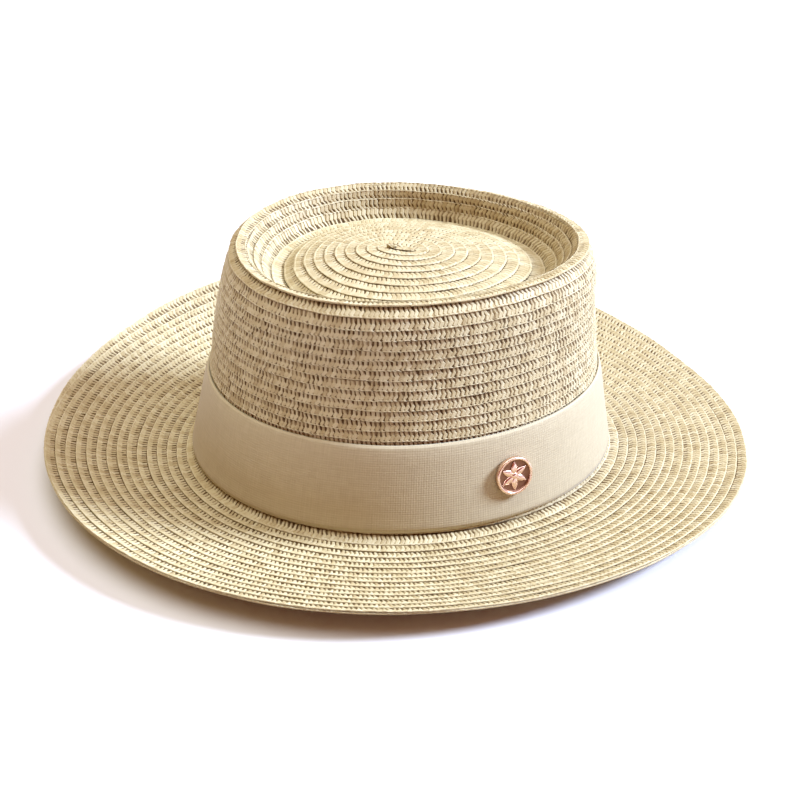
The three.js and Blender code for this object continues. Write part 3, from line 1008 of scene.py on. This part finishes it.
# ---- badge ----
def badge_frame():
    """The badge's sideways, up and outward axes, and the place of its back on the ribbon."""

    def point(height, out=GAP + RIBBON):
        x, y = oval_point(wall_oval(height), BADGE_ANGLE, out)
        return Vector((float(x), float(y), height))

    centre = point(BADGE_HEIGHT)
    up = (point(BADGE_HEIGHT + 1) - centre).normalized()
    level = point(BADGE_HEIGHT, GAP + RIBBON + 1) - centre
    sideways = up.cross(level).normalized()
    axis = sideways.cross(up).normalized()
    turned = Matrix((sideways, up, axis)).transposed().to_4x4()
    return Matrix.Translation((centre + axis * GAP) * MM) @ turned @ Matrix.Scale(MM, 4)


def lathe(profile, sides):
    """Points and faces of a turned shape about Z. The profile starts and ends on the axis."""
    rings = profile[1:-1]
    points = [(0, 0, profile[0][1])]
    for radius, height in rings:
        for side in range(sides):
            turn = side * TURN / sides
            points.append((radius * math.cos(turn), radius * math.sin(turn), height))
    points.append((0, 0, profile[-1][1]))
    last = len(points) - 1
    faces = []
    for side in range(sides):
        after = (side + 1) % sides
        faces.append((0, 1 + after, 1 + side))
        for ring in range(len(rings) - 1):
            low, high = 1 + ring * sides, 1 + (ring + 1) * sides
            faces.append((low + side, low + after, high + after, high + side))
        top = 1 + (len(rings) - 1) * sides
        faces.append((top + side, top + after, last))
    return points, faces


BADGE_RADIUS = 9.0
BADGE_BACK_EDGE = ((8.6, 0.0), (8.9, 0.12), (9.0, 0.4))
BADGE_SIDES = 96
POST_RADIUS = 0.8
POST_LENGTH = 1.3
RIM_TOP = 2.4
RIM_ROUND = 0.55
RIM_MIDDLE = 8.12
RIM_INNER_ROUND = 0.42
RECESS = ((7.66, 1.5), (7.45, 1.26), (7.1, 1.2), (5.2, 1.22), (3.0, 1.26), (0, 1.28))
DARK_RADIUS = 7.6  # the recess is darkened inside this radius
DARK_FROM = 1.0  # and in front of this height


def arc(radius, height, across, up, angles):
    """Points of a round or oval bend in a turned profile, at angles in degrees."""
    turns = [math.radians(angle) for angle in angles]
    return [(radius + across * math.cos(turn), height + up * math.sin(turn)) for turn in turns]


def badge_profile():
    """Post, back, rounded rim and the sunken face, from back to front."""
    post = [(0, -POST_LENGTH), (POST_RADIUS, -POST_LENGTH), (POST_RADIUS, 0.0)]
    outer, inner = RIM_ROUND, RIM_INNER_ROUND
    outer_bend = arc(BADGE_RADIUS - outer, RIM_TOP - outer, outer, outer, range(0, 91, 15))
    inner_bend = arc(RIM_MIDDLE, RIM_TOP - inner, inner, inner, range(108, 181, 18))
    return [*post, *BADGE_BACK_EDGE, *outer_bend, *inner_bend, *RECESS]


PETALS = 6
PETAL_STEPS = 14
PETAL_ACROSS = 4
PETAL_ROOT = 0.9
PETAL_LENGTH = 6.0
PETAL_HALF_WIDTH = 1.75
PETAL_TIP_HALF_WIDTH = 0.02
PETAL_FLOOR = 1.3
PETAL_EDGE = 1.55
PETAL_TOP = 2.15
PETAL_GROOVE = 0.16
PETAL_GROOVE_WIDTH = 0.18
HUB_RADIUS = 1.5
HUB_SHOULDER = (1.55, 1.7)
HUB_DOME_FROM = 1.8
HUB_DOME = 0.62
HUB_SIDES = 32


def petal_half_width(share):
    """Half the petal's width, from the hub at 0 to its point at 1."""
    belly = math.sin(math.pi * min(share * 0.86 + 0.14, 1.0)) ** 0.85
    return max(PETAL_HALF_WIDTH * belly * (1 - 0.18 * share), PETAL_TIP_HALF_WIDTH)


def petal_points(petal):
    """One petal's top, step by step from the hub and each from side to side, then the same on its floor."""
    turned = Matrix.Rotation(petal * TURN / PETALS + TURN / 4, 3, "Z")
    top = []
    for step in range(PETAL_STEPS + 1):
        share = step / PETAL_STEPS
        rise = 0.35 + 0.65 * math.sin(math.pi * min(share + 0.12, 1)) ** 0.6
        for side in range(-PETAL_ACROSS, PETAL_ACROSS + 1):
            across = side / PETAL_ACROSS
            dome = (1 - abs(across) ** 2.4) * rise
            groove = PETAL_GROOVE * math.exp(-((across / PETAL_GROOVE_WIDTH) ** 2)) * (1 - share)
            height = PETAL_EDGE + (PETAL_TOP - PETAL_EDGE) * dome - groove
            place = (PETAL_ROOT + PETAL_LENGTH * share, petal_half_width(share) * across, height)
            top.append(turned @ Vector(place))
    return top + [Vector((point.x, point.y, PETAL_FLOOR)) for point in top]


def petal_faces():
    """Faces of one petal: its top, its floor, and the upright side that joins them."""
    width = 2 * PETAL_ACROSS + 1
    under = (PETAL_STEPS + 1) * width
    faces = []
    for step in range(PETAL_STEPS):
        for side in range(width - 1):
            a = step * width + side
            b, c, d = a + 1, a + 1 + width, a + width
            faces += [(a, d, c, b), (a + under, b + under, c + under, d + under)]
    hub_end = list(range(width))
    right = [step * width + width - 1 for step in range(1, PETAL_STEPS)]
    point_end = [PETAL_STEPS * width + side for side in range(width - 1, -1, -1)]
    left = [step * width for step in range(PETAL_STEPS - 1, 0, -1)]
    rim = hub_end + right + point_end + left
    for here, there in zip(rim, rim[1:] + rim[:1]):
        faces.append((here, there, there + under, here + under))
    return faces


def rosette_shape():
    """Six domed petals with a groove down the middle of each, and a round hub."""
    foot = [(0, PETAL_FLOOR), (HUB_RADIUS, PETAL_FLOOR), HUB_SHOULDER]
    dome = arc(0, HUB_DOME_FROM, HUB_RADIUS, HUB_DOME, (10, 30, 50, 70))
    hub = lathe([*foot, *dome, (0, HUB_DOME_FROM + HUB_DOME)], HUB_SIDES)
    petals = [(petal_points(petal), petal_faces()) for petal in range(PETALS)]
    return joined([*petals, hub])


def make_badge(rim_metal, recess_metal, motif_metal):
    """The turned disc with its post, and the rosette in its recess."""
    place = badge_frame()
    points, faces = lathe(badge_profile(), BADGE_SIDES)
    body = new_object("badge_disc", mesh_of("badge_disc", points, faces=faces))
    for material in (rim_metal, recess_metal):
        body.data.materials.append(material)
    for face in body.data.polygons:
        middle = face.center
        dark = math.hypot(middle.x, middle.y) < DARK_RADIUS and middle.z > DARK_FROM
        face.material_index = 1 if dark else 0
    points, faces = rosette_shape()
    motif = new_object("badge_motif", mesh_of("badge_motif", points, faces=faces))
    motif.data.materials.append(motif_metal)
    for piece in (body, motif):
        piece.data.shade_smooth()
        piece.data.transform(place)
    return body, motif


# ---- table, light and camera ----
TABLE_HALF = 12.0  # metres, so that its edge is never seen
LIGHTS = (  # name, azimuth and elevation that it shines from, strength, spread, colour
    ("window_light", 6, 33, 9.9, 17, (0.60, 0.735, 1.0)),
    ("ceiling_light", 90, 88, 3.0, 60, (0.80, 0.90, 1.0)),
    ("left_light", 180, 55, 0.8, 70, (0.80, 1.0, 0.50)),
)
CAMERA_AZIMUTH = -87.06  # degrees, as the next two
CAMERA_ELEVATION = 30.77
CAMERA_ROLL = 1.27
CAMERA_DISTANCE = 0.8001  # metres, as the target
CAMERA_TARGET = Vector((0.00204, 0.0, 0.02284))
CAMERA_LENS = 74.09


def direction(azimuth, elevation):
    """A unit vector from two angles in degrees. Azimuth turns from the hat's front towards its left."""
    a, e = math.radians(azimuth), math.radians(elevation)
    return Vector((math.cos(a) * math.cos(e), math.sin(a) * math.cos(e), math.sin(e)))


def make_stage():
    """A wide square table under the hat."""
    half = TABLE_HALF
    corners = [(-half, -half, 0), (half, -half, 0), (half, half, 0), (-half, half, 0)]
    table = new_object("table_top", mesh_of("table_top", corners, faces=[(0, 1, 2, 3)]))
    table.data.materials.append(table_top())


def sun(name, azimuth, elevation, strength, spread, colour):
    """A broad far light, with its angles in degrees."""
    light = bpy.data.lights.new(name, "SUN")
    light.energy = strength
    light.angle = math.radians(spread)
    light.color = colour
    lamp = new_object(name, light)
    lamp.rotation_euler = direction(azimuth, elevation).to_track_quat("Z", "Y").to_euler()


def make_world():
    """A faint warm light from all round, and a plain white room to look at."""
    world = bpy.data.worlds.new("room")
    bpy.context.scene.world = world
    world.use_nodes = True
    nodes = Nodes(world.node_tree)
    warm = nodes.value("ShaderNodeBackground", None, {"Color": rgb(1.0, 0.10, 0.0), "Strength": 0.30})
    plain = nodes.value("ShaderNodeBackground", None, {"Color": rgb(1.0, 1.0, 1.0)})
    seen = nodes.value("ShaderNodeLightPath", output="Is Camera Ray")
    room = nodes.value("ShaderNodeMixShader", None, {0: seen, 1: warm, 2: plain})
    nodes.feed(world.node_tree.nodes["World Output"].inputs["Surface"], room)


def make_camera():
    """The camera stands on the hat's right and looks down on it, rolled a little."""
    roll = math.radians(CAMERA_ROLL)
    back = direction(CAMERA_AZIMUTH, CAMERA_ELEVATION)
    level = direction(CAMERA_AZIMUTH + 90, 0)
    upright = back.cross(level)
    right = level * math.cos(roll) - upright * math.sin(roll)
    up = level * math.sin(roll) + upright * math.cos(roll)
    data = bpy.data.cameras.new("camera")
    data.sensor_width = 36.0
    data.lens = CAMERA_LENS
    data.clip_start, data.clip_end = 0.05, 60.0
    camera = new_object("camera", data)
    turned = Matrix((right, up, back)).transposed().to_4x4()
    camera.matrix_world = Matrix.Translation(CAMERA_TARGET + back * CAMERA_DISTANCE) @ turned
    bpy.context.scene.camera = camera


# ---- the whole hat ----
bpy.context.scene.view_settings.view_transform = "Standard"
make_camera()
for light in LIGHTS:
    sun(*light)
make_world()
make_stage()

braids = make_braids(braid_bed(), plaited_straw())
ribbon, ribbon_length = make_ribbon(woven_ribbon())
polished = rose_gold("polished_rose_gold", (0.94, 0.72, 0.58), (0.84, 0.57, 0.44), 0.18, 0.16)
dull = rose_gold("darkened_recess", (0.33, 0.17, 0.105), (0.17, 0.082, 0.05), 0.34, 0.2)
disc, motif = make_badge(polished, dull, polished)

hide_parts("crown")
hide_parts("brim")
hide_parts("hat_band")
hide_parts("badge_body")
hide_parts("badge_rosette")
for piece in (*braids.values(), ribbon, disc, motif):
    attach(piece, "root")
